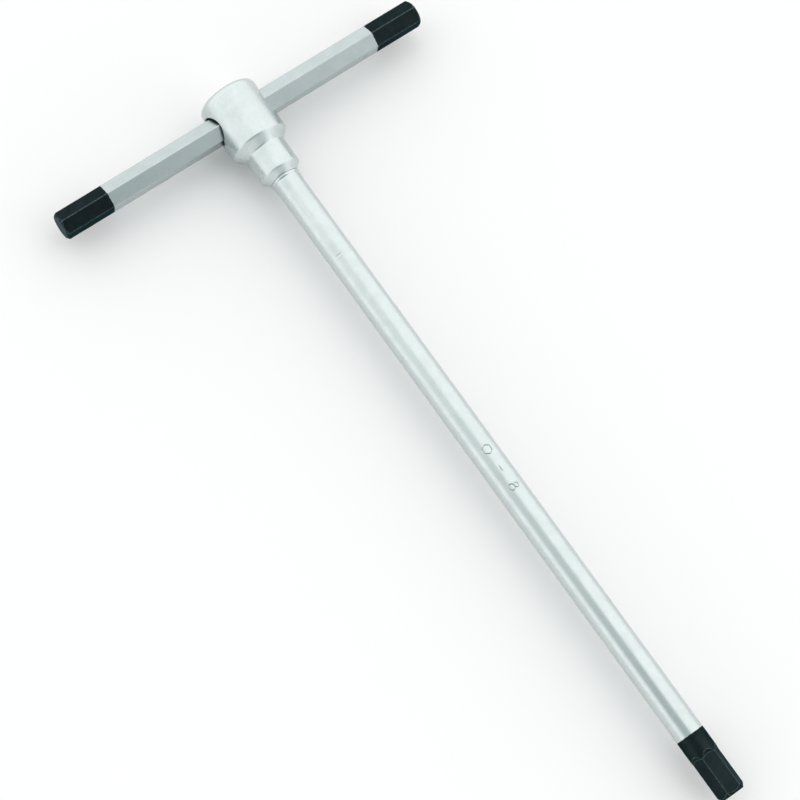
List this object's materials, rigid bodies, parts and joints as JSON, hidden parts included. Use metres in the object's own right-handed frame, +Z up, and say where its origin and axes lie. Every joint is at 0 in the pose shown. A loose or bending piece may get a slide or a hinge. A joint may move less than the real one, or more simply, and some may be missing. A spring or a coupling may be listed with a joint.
{
  "type": "sliding t-handle hexagon key",
  "caption": "T-handle hexagon key: long round shaft with a milled hexagon tip, turned head and a hexagon bar that slides through it; all ends are male hexagon drives.",
  "frame": {"origin": "under the middle of the tool's box, on the surface that the tool lies on", "axes": "+Y along the shaft from the hexagon tip to the head, +X along the sliding bar, +Z up, square to both"},
  "size_m": [0.13, 0.258, 0.0193],
  "materials": {
    "head_chrome": "satin",
    "shaft_chrome": "satin, black oxide on the hexagon tip",
    "bar_chrome": "satin, black oxide on both ends",
    "ball_steel": "polished",
    "spring_steel": "drawn wire"
  },
  "bodies": {
    "drive": {"head": "head_chrome", "shaft": "shaft_chrome", "detent_spring": "spring_steel"},
    "bar": {"t_bar": "bar_chrome"},
    "ball": {"detent_ball": "ball_steel"}
  },
  "joints": [
    {"name": "bar_slide", "type": "slide", "parent": "drive", "child": "bar", "axis": [1, 0, 0], "range_m": [-0.052, 0.052]},
    {"name": "ball_press", "type": "slide", "parent": "drive", "child": "ball", "axis": [0, -1, 0], "range_m": [0, 0.0006], "stiffness_N_per_m": 2500, "springref_m": -0.0016, "deforming": ["detent_spring"]}
  ]
}
